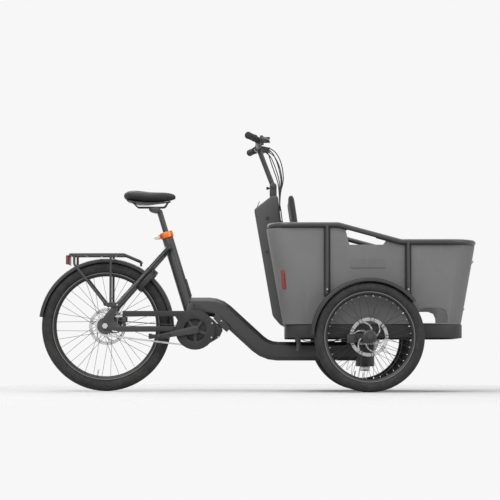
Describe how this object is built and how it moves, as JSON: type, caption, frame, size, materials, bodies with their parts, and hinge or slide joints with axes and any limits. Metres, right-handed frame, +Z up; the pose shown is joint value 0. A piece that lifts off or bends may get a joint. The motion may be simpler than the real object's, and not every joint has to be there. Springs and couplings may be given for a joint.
{
  "type": "cargo tricycle",
  "caption": "Electric cargo tricycle: a grey moulded box between the front wheels steers as one unit on a kingpin, behind it a cranked main tube, mid motor, carrier and rear wheel.",
  "frame": {"origin": "on the ground, under the middle of the whole tricycle", "axes": "+X forward along its length, +Y to its left, +Z up"},
  "size_m": [2.0896, 0.8746, 1.2088],
  "materials": {
    "frame_paint": "satin charcoal",
    "rail_paint": "satin black",
    "box_plastic": "matte grey, fine grain",
    "column_plastic": "matte dark grey",
    "black_plastic": "matte black",
    "tyre_rubber": "matte black",
    "rim_black": "black anodised",
    "rotor_steel": "ground steel",
    "bright_steel": "plain steel",
    "orange_metal": "orange anodised",
    "saddle_skin": "smooth black",
    "cushion_fabric": "woven dark grey",
    "board_wood": "dark stained",
    "grip_rubber": "ribbed black",
    "red_lens": "red reflector",
    "clear_lens": "smoked lens"
  },
  "bodies": {
    "rear_frame": {"main_frame": "frame_paint", "chain_stays": "frame_paint", "seat_stays": "frame_paint", "steering_bearings": "bright_steel", "motor_unit": "black_plastic", "chain_guard": "black_plastic", "seat_clamp": "orange_metal", "rear_axle": "bright_steel", "rear_mudguard": "black_plastic", "rear_carrier": "rail_paint", "rear_light": "red_lens", "ring_lock": "black_plastic", "rear_caliper": "rail_paint", "gear_cable": "grip_rubber", "drive_chain": "bright_steel"},
    "seat_lever": {"seat_clamp_lever": "bright_steel"},
    "seat": {"seat_post": "rail_paint", "saddle_base": "black_plastic", "saddle_cover": "saddle_skin"},
    "shackle": {"lock_shackle": "bright_steel"},
    "rear_wheel": {"rear_tyre": "tyre_rubber", "rear_rim": "rim_black", "rear_hub": "rim_black", "rear_rotor": "rotor_steel"},
    "sprocket": {"rear_sprocket": "bright_steel"},
    "crank": {"cranks": "rail_paint", "chainring": "rail_paint"},
    "right_pedal": {"right_pedal": "black_plastic"},
    "left_pedal": {"left_pedal": "black_plastic"},
    "front_unit": {"chassis_frame": "rail_paint", "kingpin": "bright_steel", "base_tray": "black_plastic", "cargo_box": "box_plastic", "top_rail": "rail_paint", "rail_struts": "rail_paint", "front_mudguards": "black_plastic", "front_calipers": "rail_paint", "bench_board": "board_wood", "bench_seat": "cushion_fabric", "bench_back": "cushion_fabric", "column_cover": "column_plastic", "battery": "black_plastic", "mast": "rail_paint", "marker_lights": "red_lens", "front_lamps": "clear_lens", "front_hoses": "grip_rubber"},
    "right_wheel": {"right_tyre": "tyre_rubber", "right_rim": "rim_black", "right_hub": "rim_black", "right_rotor": "rotor_steel"},
    "left_wheel": {"left_tyre": "tyre_rubber", "left_rim": "rim_black", "left_hub": "rim_black", "left_rotor": "rotor_steel"},
    "handlebar": {"handlebar": "rail_paint", "grips": "grip_rubber", "handlebar_controls": "black_plastic", "control_hoses": "grip_rubber"},
    "right_lever": {"right_lever": "rail_paint"},
    "left_lever": {"left_lever": "rail_paint"}
  },
  "joints": [
    {"name": "steering", "type": "hinge", "parent": "rear_frame", "child": "front_unit", "pos_m": [0.524, 0, 0.191], "axis": [0, 0, 1], "range_deg": [-34, 34]},
    {"name": "rear_wheel_spin", "type": "hinge", "parent": "rear_frame", "child": "rear_wheel", "pos_m": [-0.721, 0, 0.3115], "axis": [0, 1, 0], "continuous": true},
    {"name": "rear_sprocket_spin", "type": "hinge", "parent": "rear_frame", "child": "sprocket", "pos_m": [-0.721, -0.052, 0.3115], "axis": [0, 1, 0], "continuous": true},
    {"name": "crank_spin", "type": "hinge", "parent": "rear_frame", "child": "crank", "pos_m": [-0.291, 0, 0.292], "axis": [0, 1, 0], "continuous": true, "deforming": ["drive_chain"]},
    {"name": "right_pedal_spin", "type": "hinge", "parent": "crank", "child": "right_pedal", "pos_m": [-0.4581, -0.129, 0.26073], "axis": [0, 1, 0], "continuous": true},
    {"name": "left_pedal_spin", "type": "hinge", "parent": "crank", "child": "left_pedal", "pos_m": [-0.1239, 0.129, 0.32327], "axis": [0, 1, 0], "continuous": true},
    {"name": "right_wheel_spin", "type": "hinge", "parent": "front_unit", "child": "right_wheel", "pos_m": [0.524, -0.395, 0.2535], "axis": [0, 1, 0], "continuous": true},
    {"name": "left_wheel_spin", "type": "hinge", "parent": "front_unit", "child": "left_wheel", "pos_m": [0.524, 0.395, 0.2535], "axis": [0, 1, 0], "continuous": true},
    {"name": "seat_height", "type": "slide", "parent": "rear_frame", "child": "seat", "axis": [-0.2924, 0, 0.9563], "range_m": [-0.1, 0.06]},
    {"name": "seat_lever_swing", "type": "hinge", "parent": "rear_frame", "child": "seat_lever", "pos_m": [-0.46833, -0.0134, 0.74034], "axis": [-0.2924, 0, 0.9563], "range_deg": [0, 110]},
    {"name": "shackle_turn", "type": "hinge", "parent": "rear_frame", "child": "shackle", "pos_m": [-0.52766, 0, 0.52582], "axis": [0.749, 0, -0.6626], "range_deg": [0, 75], "stiffness_Nm_per_rad": 0.1, "springref_deg": -34.38},
    {"name": "handlebar_tilt", "type": "hinge", "parent": "front_unit", "child": "handlebar", "pos_m": [0.083, 0, 0.986], "axis": [0, 1, 0], "range_deg": [-12, 18], "deforming": ["control_hoses"]},
    {"name": "right_brake", "type": "hinge", "parent": "handlebar", "child": "right_lever", "pos_m": [0.05981, -0.19994, 1.188], "axis": [0, 0, -1], "range_deg": [0, 12], "stiffness_Nm_per_rad": 1, "springref_deg": -11.46},
    {"name": "left_brake", "type": "hinge", "parent": "handlebar", "child": "left_lever", "pos_m": [0.05981, 0.19994, 1.188], "axis": [0, 0, 1], "range_deg": [0, 12], "stiffness_Nm_per_rad": 1, "springref_deg": -11.46}
  ],
  "couplings": [
    {"joint": "rear_sprocket_spin", "follows": "crank_spin", "ratio": 1.7273}
  ]
}
